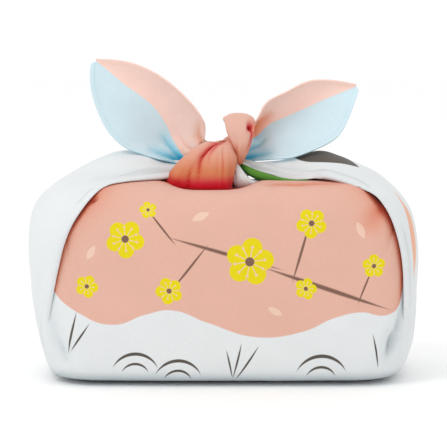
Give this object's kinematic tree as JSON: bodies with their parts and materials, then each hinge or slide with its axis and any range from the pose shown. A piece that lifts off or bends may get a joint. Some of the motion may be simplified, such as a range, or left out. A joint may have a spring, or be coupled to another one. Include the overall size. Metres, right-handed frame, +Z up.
{
  "type": "furoshiki wrap",
  "caption": "Square cotton cloth wrapped round a lunch box that isn't shown, knotted on top with its free corners spread like leaves.",
  "frame": {"origin": "on the table, under the middle of the wrap", "axes": "+X along the wrap to the right as seen from the front, +Y to its back, +Z up"},
  "size_m": [0.178, 0.0865, 0.1438],
  "materials": {
    "furoshiki_cloth": "matte printed plain-weave cotton"
  },
  "bodies": {
    "root": {"furoshiki_cloth": "furoshiki_cloth"}
  },
  "joints": []
}
